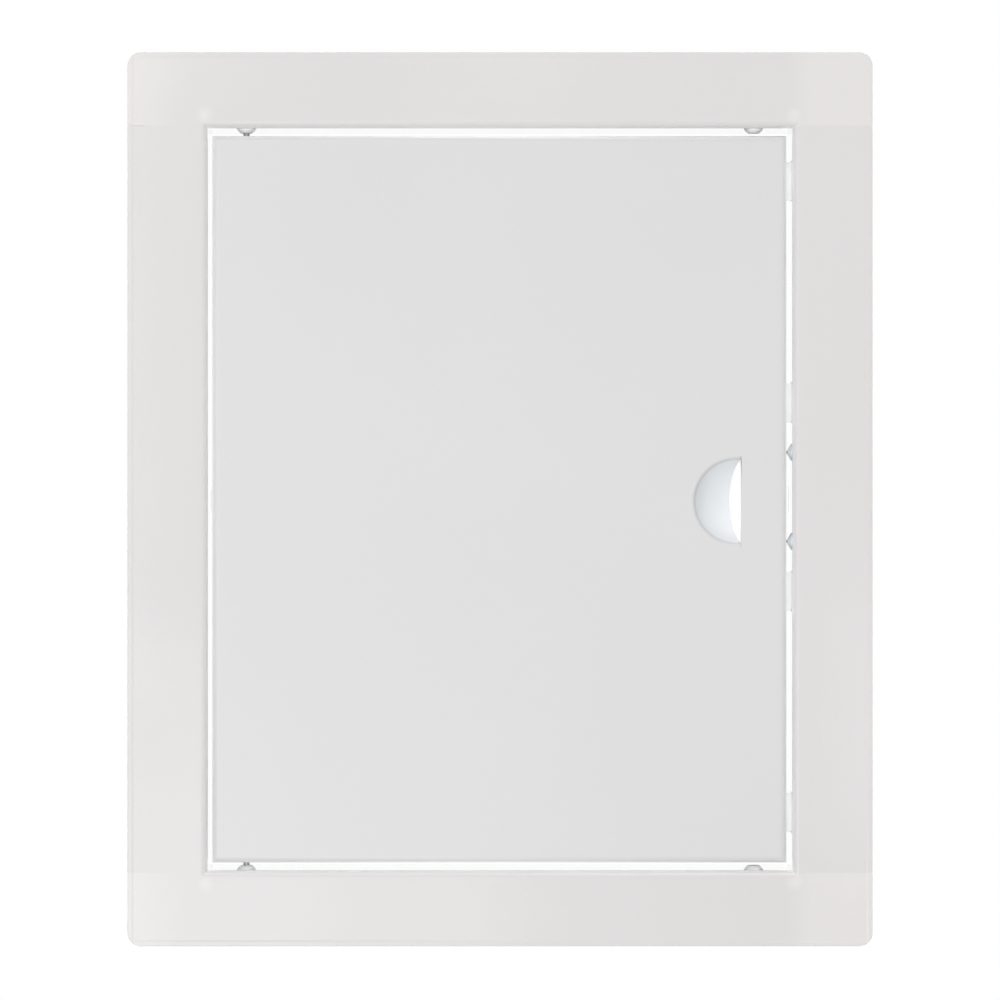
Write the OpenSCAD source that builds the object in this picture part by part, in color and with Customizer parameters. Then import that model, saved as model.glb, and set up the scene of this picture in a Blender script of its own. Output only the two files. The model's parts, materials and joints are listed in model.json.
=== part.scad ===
// Flush inspection hatch in powder-coated sheet steel: a four-rail frame whose sleeve goes into
// a rough opening, and a side-hung door pan with a pressed half-moon finger pull.
// Frame of reference: X to the right, Y into the wall, Z up. The origin is the centre of the
// opening, in the plane where the back of the flange meets the wall. The front faces -Y.

/* [Frame] */
// Overall width over the flange
outer_w = 250; // [235:1:300]
// Overall height over the flange
outer_h = 300; // [285:1:400]
// Clear width between the sleeve walls
clear_w = 196.4; // [180:0.2:204]
// Clear height between the sleeve walls
clear_h = 249.2; // [235:0.2:258]
// Depth of the sleeve behind the flange
sleeve_depth = 35; // [33:0.5:60]
// Thickness of the frame's sheet
sheet_t = 0.8; // [0.6:0.05:1]
// Visible radius of the bend between flange and sleeve
bend_r = 2.2; // [1.6:0.1:2.8]
// Radius of the flange's outer corners
corner_r = 4.5; // [2:0.5:10]
// Width of the butt seam between two flanges
seam_gap = 0.12; // [0.05:0.01:0.3]
// Length of the corner tabs that lap the top and bottom rails
tab_len = 8; // [5:0.5:8.5]
// Gap from the rear edge of the sleeve to a corner tab
tab_edge = 5; // [3:0.5:8]
// Distance from a bend to the notches and slits behind it
bend_clear = 0.5; // [0.3:0.05:1]

/* [Door] */
// Gap above and below the door
gap_ends = 2.6; // [2.2:0.1:3.2]
// Gap on the hinge side
gap_hinge = 1.6; // [1.2:0.1:2.2]
// Gap on the catch side
gap_catch = 2; // [1.8:0.1:2.6]
// Depth of the door pan from its face to the edge of its flanges
door_depth = 12; // [11.4:0.2:14]
// Thickness of the door's sheet
door_t = 0.8; // [0.6:0.05:1]
// Visible radius of the door's bends
door_bend_r = 2.2; // [1.6:0.1:2.6]
// Side of the relief notch between two flanges of the pan
relief = 1.3; // [1.1:0.1:2]

/* [Finger pull] */
// Distance from the pull's straight lip to the door's catch edge
pull_inset = 15.3; // [12:0.1:30]
// Radius of the half moon on the door's face
pull_r = 14.4; // [11:0.1:15]
// How far the half moon runs past its own diameter to the lip
pull_overrun = 1.4; // [0.8:0.1:2]
// Depth of the pressed scoop
pull_depth = 10.4; // [8:0.1:10.6]
// How far the scoop's rim lies back from the lip at full depth
pull_rake = 3.6; // [2:0.1:5]
// Radius where the scoop runs into the face
pull_edge_r = 1.2; // [0.9:0.1:1.8]
// How far the pull sits below the middle of the door
pull_drop = 0.7; // [0:0.1:20]

/* [Hinge] */
// Distance from the sleeve wall to the hinge axis
hinge_inset = 12.9; // [12.9:0.1:14]
// Depth of the hinge axis behind the door's face
hinge_depth = 6; // [5.9:0.1:6.2]
// Base diameter of a bush's domed head
bush_d = 6.5; // [6:0.1:7]
// Diameter of the flat on top of a bush's head
bush_flat_d = 3.4; // [3:0.1:4]
// Height of a bush's head
bush_h = 1.5; // [1.2:0.1:1.6]
// Diameter of a bush's shank in the sheet
bush_shank_d = 4.4; // [4:0.1:4.8]
// Length of a bush's snap tail behind the sheet
bush_tail = 1.6; // [1.2:0.1:2]
// Largest diameter of the snap tail
barb_d = 5.9; // [5.4:0.1:6]
// Width of the split through the snap tail
bush_split = 0.6; // [0.4:0.1:0.8]
// Diameter of a hinge pin
pin_d = 2.1; // [1.9:0.05:2.3]
// Diameter of the pin's spigot in the door
spigot_d = 1.5; // [1.2:0.05:1.6]
// Reach of the spigot past the door's sheet
spigot_reach = 2.2; // [1:0.1:4]
// Diameter of a pin's head
pin_head_d = 3.8; // [3.4:0.1:4.4]
// Thickness of a pin's head
pin_head_t = 0.8; // [0.6:0.1:1.2]
// Chamfer on a pin's head and tip
pin_chamfer = 0.25; // [0.1:0.05:0.3]

/* [Catch] */
// Distance between the two catch plungers
catch_pitch = 30; // [28:0.5:34]
// How far the catch plungers and the stop tabs sit above the middle
catch_rise = 0.8; // [-1.5:0.1:1.5]
// Radius of a plunger's conical nose
nose_r = 2.85; // [2.6:0.05:3]
// Angle between the side of a nose and its axis
nose_angle = 60; // [56:1:64]
// Radius of the rounded tip of a nose
tip_r = 0.5; // [0.3:0.05:0.8]
// Gap between a nose and the edge of the closed door
nose_gap = 0.2; // [0.15:0.05:0.5]
// Diameter of a plunger's collar
collar_d = 7.2; // [6.9:0.1:7.4]
// Thickness of a plunger's collar
collar_t = 1; // [0.8:0.1:1.4]
// Diameter of a plunger's stem
stem_d = 3.6; // [3:0.1:3.8]
// Length of a plunger's stem
stem_len = 4; // [3:0.1:5]
// Length of a catch cup behind the sleeve
cup_len = 9; // [8:0.1:11]
// Thickness of a catch cup's sheet
cup_t = 0.6; // [0.5:0.05:0.8]
// Distance from a cup's centre to the weld spot on its ear
ear_reach = 6.6; // [6.4:0.1:7]
// Radius of a cup's ear
ear_r = 2.5; // [2:0.1:3]
// Wire diameter of a catch spring
wire_d = 0.5; // [0.4:0.05:0.6]
// Mean diameter of a catch spring
coil_d = 4.6; // [4.2:0.1:5]
// Turns of a catch spring
coil_turns = 6.5; // [5.5:1:7.5]
// Diameter of the detent holes in the door's flange
detent_d = 3.4; // [3:0.1:3.8]

/* [Stops and fixings] */
// Width of a stop tab
stop_w = 13; // [9:0.5:15]
// Distance from a stop tab's tip to the sleeve wall
stop_reach = 9; // [6:0.5:9.5]
// Height of the two inner stop tabs above and below the middle of the catch
stop_inner = 31.8; // [31.8:0.2:40]
// Height of the two outer stop tabs above and below the middle of the catch
stop_outer = 106.5; // [70:0.5:107]
// Width of the slit on each side of a stop tab
slit = 0.35; // [0.2:0.05:0.6]
// Inside radius of a stop tab's bend
stop_bend_r = 0.4; // [0.3:0.05:0.8]
// Length of a fixing slot
slot_len = 8.4; // [6:0.2:14]
// Width of a fixing slot, for a 4 mm screw
slot_w = 4.4; // [3.4:0.1:5.4]
// Depth of the fixing slots behind the flange
slot_depth = 27; // [24:0.5:29]

/* [Clearances] */
// Radial clearance of a spigot in the door
spigot_play = 0.05; // [0.02:0.01:0.09]
// Radial clearance of a pin in its bush
pin_play = 0.04; // [0.02:0.01:0.08]
// Radial clearance of a bush in the sheet
bush_play = 0.05; // [0.02:0.01:0.1]
// Clearance between a pin's shoulder and the door
shoulder_play = 0.1; // [0.05:0.05:0.3]
// Clearance between the door's flange and the stop tabs
stop_play = 0.3; // [0.2:0.05:0.6]
// Clearance around a plunger in the sheet and in its cup
plunger_play = 0.12; // [0.08:0.01:0.2]
// Clearance at the ends of a catch spring, and under a collar
seat_play = 0.05; // [0.02:0.01:0.1]
// Clearance between a catch cup and the bend of the flange
cup_play = 0.4; // [0.3:0.05:0.8]
// Gap between the closed turns of a catch spring
coil_play = 0.03; // [0.02:0.01:0.05]

/* [Hidden] */
$fn = 64;
half_w = clear_w / 2;
half_h = clear_h / 2;
front_y = -sheet_t;
bend_end = front_y + bend_r;
window_y = bend_end + bend_clear;
seam_z = half_h + sheet_t;
mitre = seam_gap / 2;
corner_x = half_w + bend_r + mitre;
notch_z = half_h + bend_r + seam_gap;
far = 2 * (outer_w + outer_h);
// How far a cut runs past the face that it opens, and how deep fused bodies of one piece lap
over = sheet_t;
lap = sheet_t / 4;

door_left = -half_w + gap_hinge;
door_right = half_w - gap_catch;
door_mid = (door_left + door_right) / 2;
door_half_w = (door_right - door_left) / 2;
door_half_h = half_h - gap_ends;
door_back = front_y + door_depth;

hinge_x = -half_w + hinge_inset;
hinge_y = front_y + hinge_depth;

nose_out = gap_catch - nose_gap;
catches = [for (side = [-1, 1]) catch_rise + side * catch_pitch / 2];
stops = [for (z = [-stop_outer, -stop_inner, stop_inner, stop_outer]) catch_rise + z];
cup_r = collar_d / 2 + plunger_play;
cup_outer_r = cup_r + cup_t;
catch_y = bend_end + cup_play + cup_outer_r;
collar_z = -sheet_t - seat_play;
spring_top = collar_z - collar_t - seat_play;
spring_bottom = -sheet_t - cup_len + cup_t + seat_play;

stop_y = door_back + stop_play;
stop_bend_y = stop_y + sheet_t + stop_bend_r;

pull_lip = door_right - pull_inset;
pull_x = pull_lip - pull_overrun;
ball_r = (pull_r * pull_r + pull_depth * pull_depth) / (2 * pull_depth);
ball_y = pull_depth - ball_r;
ball_in = ball_r + pull_edge_r;
blend = [sqrt(ball_in * ball_in - pow(pull_edge_r - ball_y, 2)), pull_edge_r];
to_ball = ([0, ball_y] - blend) / ball_in;

bush_drop = (pow(bush_flat_d / 2, 2) + bush_h * bush_h - pow(bush_d / 2, 2)) / (2 * bush_h);
bush_ball = sqrt(pow(bush_d / 2, 2) + bush_drop * bush_drop);

paint = [0.93, 0.93, 0.92];
moulded = [0.88, 0.89, 0.9];
steel = [0.45, 0.46, 0.48];
zinc = [0.7, 0.71, 0.72];

// Profile helpers

// Stretches a profile of width and depth up the Z axis
module along_z() {
    linear_extrude(height = far, center = true) children();
}

// Stretches a profile of height and depth along the X axis
module along_x() {
    rotate([0, -90, 0]) linear_extrude(height = far, center = true) children();
}

// Stretches a plan of X and Z into the wall from one depth to another
module plan(from_y, to_y) {
    translate([0, to_y, 0]) rotate([90, 0, 0]) linear_extrude(height = to_y - from_y) children();
}

// A block between two depths whose front corners are rounded
module round_front(half, from_y, to_y, r) {
    translate([-half, from_y + r]) square([2 * half, to_y - from_y - r]);
    translate([-half + r, from_y]) square([2 * half - 2 * r, r]);
    for (side = [-1, 1]) translate([side * (half - r), from_y + r]) circle(r = r);
}

// Puts a piece on the inside of the top wall, its own Z pointing into the opening
module at_top(x) {
    translate([x, hinge_y, half_h]) rotate([180, 0, 0]) children();
}

// Puts a piece on the inside of the catch wall, its own Z pointing into the opening
module at_catch(z) {
    translate([half_w, catch_y, z]) rotate([0, -90, 0]) children();
}

// Frame rails

// A quarter of the plane, cut off at a reach, with its corner rounded
module corner_block(r, reach) {
    translate([r, 0]) square([reach - r, reach]);
    translate([0, r]) square([reach, reach - r]);
    translate([r, r]) circle(r = r);
}

// Section of a sheet bent round a corner at the origin, with its legs along X and Y
module bent_sheet(r, reach) {
    difference() {
        corner_block(r, reach);
        translate([sheet_t, sheet_t]) corner_block(r - sheet_t, 2 * reach);
    }
}

// Section of a rail: flange, bend and sleeve wall in one sheet, half the opening away
module rail_section(half) {
    translate([half, front_y]) bent_sheet(bend_r, far / 4);
}

// An outline of X and Z from one side's points and their mirror image
module both_sides(points, flip) {
    count = len(points);
    polygon(concat(points, [for (i = [1:count]) [for (k = [0, 1]) flip[k] * points[count - i][k]]]));
}

// Outline of the top rail's flange and bend, mitred at the corners of the opening
module top_outline() {
    difference() {
        both_sides([
            [half_w - mitre - over, half_h - over], [corner_x, notch_z],
            [outer_w / 2, notch_z], [outer_w / 2, outer_h / 2]
        ], [-1, 1]);
        for (side = [0, 1]) mirror([side, 0])
            translate([outer_w / 2 - corner_r, outer_h / 2 - corner_r]) difference() {
                square(corner_r + over);
                circle(r = corner_r);
            }
    }
}

// The top rail: flange with a wing beside the opening, mitred bend, and wall with two bush holes
module top_rail() {
    difference() {
        intersection() {
            along_x() rail_section(half_h);
            union() {
                plan(front_y - over, bend_end) top_outline();
                plan(front_y - over, sleeve_depth) translate([mitre - half_w, half_h - over])
                    square([clear_w - seam_gap, bend_r + over]);
            }
        }
        for (side = [-1, 1]) at_top(side * hinge_x) translate([0, 0, -sheet_t - over])
            cylinder(r = bush_shank_d / 2 + bush_play, h = sheet_t + 2 * over);
    }
    for (side = [0, 1]) mirror([side, 0, 0])
        plan(front_y, 0) translate([corner_x + seam_gap, seam_z])
            square([outer_w / 2 - corner_x - seam_gap, notch_z - seam_z + over]);
}

// A tab at the end of a side rail, folded over the outside of the top rail's wall
module corner_tab() {
    plan(window_y + tab_edge, sleeve_depth - tab_edge)
        translate([half_w + sheet_t, seam_z + sheet_t]) rotate(180) difference() {
            corner_block(sheet_t, tab_len);
            translate([sheet_t, sheet_t]) square(tab_len);
            translate([-over, 2 * sheet_t]) square(tab_len);
        }
}

// A slot through the sleeve wall, long in Z
module fixing_slot() {
    translate([half_w - over, slot_depth, 0]) rotate([0, 90, 0]) {
        for (end = [-1, 1]) translate([end * (slot_len - slot_w) / 2, 0, 0])
            cylinder(d = slot_w, h = sheet_t + 2 * over);
        translate([-(slot_len - slot_w) / 2, -slot_w / 2, 0])
            cube([slot_len - slot_w, slot_w, sheet_t + 2 * over]);
    }
}

// Outline of a side rail's flange and bend, mitred at the corners of the opening
module side_outline() {
    both_sides([
        [half_w - over, half_h - mitre - over], [corner_x, half_h + bend_r],
        [corner_x, seam_z - seam_gap], [outer_w / 2, seam_z - seam_gap]
    ], [1, -1]);
}

// The plain side rail: flange between the seams, mitred bend, sleeve wall with folded ends
module side_rail() {
    difference() {
        intersection() {
            along_z() rail_section(half_w);
            union() {
                plan(front_y - over, bend_end) side_outline();
                plan(front_y - over, sleeve_depth) translate([half_w - over, mitre - half_h])
                    square([bend_r + over, clear_h - seam_gap]);
                plan(window_y, sleeve_depth) translate([half_w - over, -seam_z])
                    square([bend_r + over, 2 * seam_z]);
            }
        }
        fixing_slot();
    }
    for (side = [0, 1]) mirror([0, 0, side]) corner_tab();
}

// The opening that a stop tab leaves in the wall
module stop_window() {
    translate([half_w - over, window_y, -stop_w / 2 - slit])
        cube([sheet_t + 2 * over, stop_bend_y - window_y, stop_w + 2 * slit]);
}

// A stop tab, bent inward behind the door's flange and rooted in the wall
module stop_tab() {
    translate([half_w + sheet_t, stop_y, -stop_w / 2]) mirror([1, 0, 0])
        linear_extrude(height = stop_w) intersection() {
            bent_sheet(stop_bend_r + sheet_t, far / 4);
            square([stop_reach + sheet_t, stop_bend_r + 2 * sheet_t]);
        }
}

module frame_top_rail() {
    color(paint) top_rail();
}

module frame_bottom_rail() {
    color(paint) mirror([0, 0, 1]) top_rail();
}

module frame_left_rail() {
    color(paint) mirror([1, 0, 0]) side_rail();
}

module frame_right_rail() {
    color(paint) {
        difference() {
            side_rail();
            for (z = stops) translate([0, 0, z]) stop_window();
            for (z = catches) at_catch(z) translate([0, 0, -sheet_t - over])
                cylinder(r = nose_r + plunger_play, h = sheet_t + 2 * over);
        }
        for (z = stops) translate([0, 0, z]) stop_tab();
    }
}

// Door

// A bent pan with a face and four flanges, inset by the given amount on every side
module pan_block(inset, to_y) {
    intersection() {
        translate([door_mid, 0, 0]) along_z()
            round_front(door_half_w - inset, front_y + inset, to_y, door_bend_r - inset);
        along_x() round_front(door_half_h - inset, front_y + inset, to_y, door_bend_r - inset);
    }
}

// Space on the hinge side of the lip: straight behind the lip, then sloping back with the rim
module scoop_side() {
    deep = pull_depth + 2 * door_t;
    slope = pull_rake / (pull_depth - pull_edge_r);
    along_z() polygon([
        [pull_lip, front_y - over], [pull_lip, front_y + pull_edge_r],
        [pull_lip - slope * (deep - pull_edge_r), front_y + deep],
        [pull_lip - far / 8, front_y + deep], [pull_lip - far / 8, front_y - over]
    ]);
}

// The bowl of the scoop about its own axis: a ball-shaped shell below the rolled edge
module bowl_section() {
    intersection() {
        translate([0, ball_y]) difference() {
            circle(r = ball_r + door_t);
            circle(r = ball_r);
        }
        polygon([
            [0, ball_y], [2 * blend.x, 2 * blend.y - ball_y], [2 * blend.x, 2 * ball_in], [0, 2 * ball_in]
        ]);
    }
}

// The rolled edge that leads from the door's face into the bowl
module edge_section() {
    intersection() {
        translate(blend) difference() {
            circle(r = pull_edge_r);
            circle(r = pull_edge_r - door_t);
        }
        polygon([blend, blend - [0, 2 * pull_edge_r], blend + 2 * pull_edge_r * to_ball]);
    }
}

// The pressed scoop, drawn as a whole bowl and cut at its sloping rim
module scoop() {
    intersection() {
        translate([pull_x, front_y, -pull_drop]) rotate([-90, 0, 0]) {
            rotate_extrude() bowl_section();
            rotate_extrude() edge_section();
        }
        scoop_side();
    }
}

module door_panel() {
    color(paint) difference() {
        union() {
            difference() {
                pan_block(0, door_back);
                pan_block(door_t, door_back + over);
                intersection() {
                    translate([pull_x, front_y - over, -pull_drop]) rotate([-90, 0, 0])
                        cylinder(r = blend.x, h = door_t + 2 * over);
                    translate([pull_lip - outer_w, front_y - over, -outer_h / 2])
                        cube([outer_w, door_t + 2 * over, outer_h]);
                }
            }
            scoop();
        }
        for (sx = [-1, 1], sz = [-1, 1])
            translate([door_mid + sx * door_half_w, door_back, sz * door_half_h])
                cube([2 * relief, 2 * (door_depth - door_bend_r - bend_clear), 2 * relief], center = true);
        for (side = [0, 1]) mirror([0, 0, side]) at_top(hinge_x)
            translate([0, 0, gap_ends - over])
                cylinder(r = spigot_d / 2 + spigot_play, h = door_t + 2 * over);
        for (z = catches) at_catch(z)
            translate([0, 0, gap_catch - over]) cylinder(d = detent_d, h = door_t + 2 * over);
    }
}

// Hinge

// A moulded bush: domed head inside the wall, shank in the sheet, split snap tail behind it
module bush() {
    tail_z = -sheet_t - bush_play;
    difference() {
        union() {
            rotate_extrude() intersection() {
                translate([0, bush_drop]) circle(r = bush_ball);
                square([bush_d, bush_h]);
            }
            translate([0, 0, tail_z - lap]) cylinder(d = bush_shank_d, h = 2 * lap - tail_z);
            translate([0, 0, -sheet_t - bush_tail])
                cylinder(d1 = bush_shank_d, d2 = barb_d, h = bush_tail - bush_play);
        }
        translate([0, 0, -far / 2]) cylinder(r = pin_d / 2 + pin_play, h = far);
        translate([-bush_d, -bush_split / 2, -sheet_t - bush_tail - over])
            cube([2 * bush_d, bush_split, bush_tail + over + sheet_t / 2]);
    }
}

// A stepped steel pin: head behind the bush, shoulder under the door, spigot in its flange
module pin() {
    head_z = -sheet_t - bush_tail - seat_play;
    shoulder_z = gap_ends - shoulder_play;
    tip_z = gap_ends + door_t + spigot_reach;
    rotate_extrude() polygon([
        [0, head_z - pin_head_t], [pin_head_d / 2 - pin_chamfer, head_z - pin_head_t],
        [pin_head_d / 2, head_z - pin_head_t + pin_chamfer], [pin_head_d / 2, head_z],
        [pin_d / 2, head_z], [pin_d / 2, shoulder_z], [spigot_d / 2, shoulder_z],
        [spigot_d / 2, tip_z - pin_chamfer], [spigot_d / 2 - pin_chamfer, tip_z], [0, tip_z]
    ]);
}

module hinge_bush_top() {
    color(moulded) at_top(hinge_x) bush();
}

module hinge_bush_bottom() {
    color(moulded) mirror([0, 0, 1]) at_top(hinge_x) bush();
}

module spare_bush_top() {
    color(moulded) at_top(-hinge_x) bush();
}

module spare_bush_bottom() {
    color(moulded) mirror([0, 0, 1]) at_top(-hinge_x) bush();
}

module hinge_pin_top() {
    color(steel) at_top(hinge_x) pin();
}

module hinge_pin_bottom() {
    color(steel) mirror([0, 0, 1]) at_top(hinge_x) pin();
}

// Catch

// A moulded plunger: blunt conical nose, collar that bears on the sheet, stem inside the spring
module plunger() {
    back_z = collar_z - collar_t;
    tip = [tip_r * cos(nose_angle), nose_out - tip_r + tip_r * sin(nose_angle)];
    base_z = tip.y - (nose_r - tip.x) / tan(nose_angle);
    rotate_extrude() {
        polygon([[0, back_z], [nose_r, back_z], [nose_r, base_z], tip, [0, nose_out]]);
        intersection() {
            translate([0, nose_out - tip_r]) circle(r = tip_r);
            translate([0, tip.y]) square(2 * tip_r);
        }
        translate([0, back_z]) square([collar_d / 2, collar_t]);
        translate([0, back_z - stem_len]) square([stem_d / 2, stem_len + lap]);
    }
}

// A pressed steel cup with two ears that are spot-welded to the sleeve wall
module cup() {
    rotate_extrude() {
        translate([cup_r, -sheet_t - cup_len]) square([cup_t, cup_len]);
        translate([0, -sheet_t - cup_len]) square([cup_outer_r, cup_t]);
    }
    translate([0, 0, -sheet_t - cup_t]) linear_extrude(height = cup_t) difference() {
        union() {
            for (end = [-1, 1]) translate([end * ear_reach, 0]) circle(r = ear_r);
            square([2 * ear_reach, 2 * ear_r], center = true);
        }
        circle(r = cup_r + cup_t / 2);
    }
}

// Height of the spring's wire after a number of turns, with a closed turn at each end
closed_pitch = wire_d + coil_play;
open_pitch = (spring_top - spring_bottom - wire_d - 2 * closed_pitch) / (coil_turns - 2);
function coil_height(turn) =
    spring_bottom + wire_d / 2 + min(turn, 1) * closed_pitch
    + max(0, min(turn - 1, coil_turns - 2)) * open_pitch
    + max(0, turn - coil_turns + 1) * closed_pitch;

// One point on the wire's skin, at a turn count and an angle round the wire
function coil_point(turn, angle) =
    let (out = coil_d / 2 + wire_d / 2 * cos(angle))
    [out * cos(360 * turn), out * sin(360 * turn), coil_height(turn) + wire_d / 2 * sin(angle)];

module spring() {
    sides = 8;
    steps = 13;
    rings = floor(coil_turns * steps);
    points = [
        for (i = [0:rings], j = [0:sides - 1]) coil_point(i * coil_turns / rings, j * 360 / sides)
    ];
    skin = [
        for (i = [0:rings - 1], j = [0:sides - 1])
            let (next = (j + 1) % sides, a = i * sides, b = a + sides)
            each [[a + j, a + next, b + next], [a + j, b + next, b + j]]
    ];
    first_end = [for (j = [1:sides - 2]) [0, j + 1, j]];
    last_end = [for (j = [1:sides - 2]) [rings * sides, rings * sides + j, rings * sides + j + 1]];
    polyhedron(points = points, faces = concat(skin, first_end, last_end));
}

module catch_plunger_upper() {
    color(moulded) at_catch(catches[1]) plunger();
}

module catch_plunger_lower() {
    color(moulded) at_catch(catches[0]) plunger();
}

module catch_spring_upper() {
    color(steel) at_catch(catches[1]) spring();
}

module catch_spring_lower() {
    color(steel) at_catch(catches[0]) spring();
}

module catch_cup_upper() {
    color(zinc) at_catch(catches[1]) cup();
}

module catch_cup_lower() {
    color(zinc) at_catch(catches[0]) cup();
}

frame_top_rail();
frame_bottom_rail();
frame_left_rail();
frame_right_rail();
door_panel();
hinge_bush_top();
hinge_bush_bottom();
spare_bush_top();
spare_bush_bottom();
hinge_pin_top();
hinge_pin_bottom();
catch_plunger_upper();
catch_plunger_lower();
catch_spring_upper();
catch_spring_lower();
catch_cup_upper();
catch_cup_lower();
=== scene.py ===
# %% [markdown]
# # A flush inspection hatch in white powder-coated steel
# The hatch is a four-rail steel frame whose sleeve goes into a hole in a wall, and a door pan that
# swings inside it on two pins. This lesson dresses the exact, plain model of that hatch: rounded
# sheet edges, real paint, moulded plastic, turned pins, springs and weld marks. The plain model comes
# first, because the outline, the opening and the places of the moving parts are read from it. Only
# small sizes that it doesn't state, such as those of the bends and welds, are named here.

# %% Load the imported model
import json
import math

import bmesh
import bpy
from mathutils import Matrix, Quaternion, Vector

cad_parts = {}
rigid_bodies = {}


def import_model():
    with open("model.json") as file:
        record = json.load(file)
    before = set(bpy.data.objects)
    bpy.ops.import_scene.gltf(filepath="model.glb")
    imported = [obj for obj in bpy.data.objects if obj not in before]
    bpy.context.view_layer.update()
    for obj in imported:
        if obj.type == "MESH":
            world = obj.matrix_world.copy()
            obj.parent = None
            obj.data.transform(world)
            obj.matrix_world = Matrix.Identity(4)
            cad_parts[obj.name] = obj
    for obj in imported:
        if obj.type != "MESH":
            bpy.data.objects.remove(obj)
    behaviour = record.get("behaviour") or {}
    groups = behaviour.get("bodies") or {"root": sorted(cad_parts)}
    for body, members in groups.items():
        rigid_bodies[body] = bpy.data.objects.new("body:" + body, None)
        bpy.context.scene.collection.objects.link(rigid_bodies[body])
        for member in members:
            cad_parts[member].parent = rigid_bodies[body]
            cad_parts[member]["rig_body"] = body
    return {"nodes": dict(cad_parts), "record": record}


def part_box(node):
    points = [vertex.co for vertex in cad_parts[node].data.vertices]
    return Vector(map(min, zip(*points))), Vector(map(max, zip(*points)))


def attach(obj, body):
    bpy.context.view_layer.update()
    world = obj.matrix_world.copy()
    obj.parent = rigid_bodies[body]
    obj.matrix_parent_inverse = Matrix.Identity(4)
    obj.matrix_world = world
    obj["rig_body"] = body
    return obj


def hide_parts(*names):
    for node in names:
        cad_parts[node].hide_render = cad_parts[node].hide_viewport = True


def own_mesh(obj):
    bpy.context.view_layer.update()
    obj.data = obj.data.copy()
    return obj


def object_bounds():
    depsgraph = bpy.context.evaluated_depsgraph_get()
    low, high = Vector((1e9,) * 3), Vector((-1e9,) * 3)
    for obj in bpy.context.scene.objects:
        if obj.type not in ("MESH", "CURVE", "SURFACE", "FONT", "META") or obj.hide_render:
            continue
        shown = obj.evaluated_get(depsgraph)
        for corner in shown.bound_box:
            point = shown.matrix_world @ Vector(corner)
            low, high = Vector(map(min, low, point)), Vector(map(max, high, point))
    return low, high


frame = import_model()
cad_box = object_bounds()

# %% [markdown]
# ## Reading sizes from the model
# A dressed model stays true when its numbers come from the plain one. The flange's back lies in the
# plane Y = 0, so the front plane is one sheet thickness before it. The sleeve walls are read from one
# of the record's mounts and the box of a rail, and the finger pull from the openings in the record.

# %% Measure the frame, the opening and the finger pull
MM = 0.001
cad_low, cad_high = cad_box
front_y = cad_low.y
sheet = -front_y
outer_x, outer_z = cad_high.x, cad_high.z
mounts = {mount["name"]: Vector(mount["pos_m"]) for mount in frame["record"]["mounts"]}
wall_x = mounts["fixing_slot_right"].x
wall_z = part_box("frame_top_rail")[0].z
seam_z = wall_z + sheet
openings = {space["name"]: space["box_m"] for space in frame["record"]["physics"]["openings"]}
pull_low, pull_high = openings["finger_pull"]
pull_middle = (Vector(pull_low) + Vector(pull_high)) / 2
print("front plane %.2f mm, opening %.1f x %.1f mm" % (front_y / MM, 2 * wall_x / MM, 2 * wall_z / MM))

# %% [markdown]
# ## The camera
# The hatch was seen square on, from far enough away that its sleeve hardly shows. A long lens at
# two metres does that. The lens follows from how wide a strip of the front plane fills the square
# picture: focal length over sensor width equals distance over that strip.

# %% Place the camera square to the door
PIXELS_PER_MM = 2.98
IMAGE_PIXELS = 1000
SENSOR = 36.0
CAMERA_DISTANCE = 2.0
CENTRE_DROP = 0.25 * MM
seen_width = IMAGE_PIXELS / PIXELS_PER_MM * MM
camera_data = bpy.data.cameras.new("camera")
camera_data.sensor_width = SENSOR
camera_data.lens = SENSOR * CAMERA_DISTANCE / seen_width
camera = bpy.data.objects.new("camera", camera_data)
camera.location = (0, front_y - CAMERA_DISTANCE, -CENTRE_DROP)
camera.rotation_euler = (math.radians(90), 0, 0)
bpy.context.collection.objects.link(camera)
scene = bpy.context.scene
scene.camera = camera
scene.view_settings.view_transform = "Standard"
print("lens %.1f mm sees %.1f mm" % (camera_data.lens, seen_width / MM))

# %% [markdown]
# ## Writing node trees as sums
# A finish is arithmetic on patterns, and wiring that by hand hides the arithmetic. This small class
# wraps one socket. Plus, minus, times and divide on it add Math nodes, also when a plain number
# stands first. Its node method adds any node, settings first and then sockets, and the other methods
# are short names for the nodes that come up most.

# %% A socket that takes part in expressions
def pick(sockets, key):
    """A socket by its identifier, or else by its name."""
    for socket in sockets:
        if socket.identifier == key:
            return socket
    return sockets[key]


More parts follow.
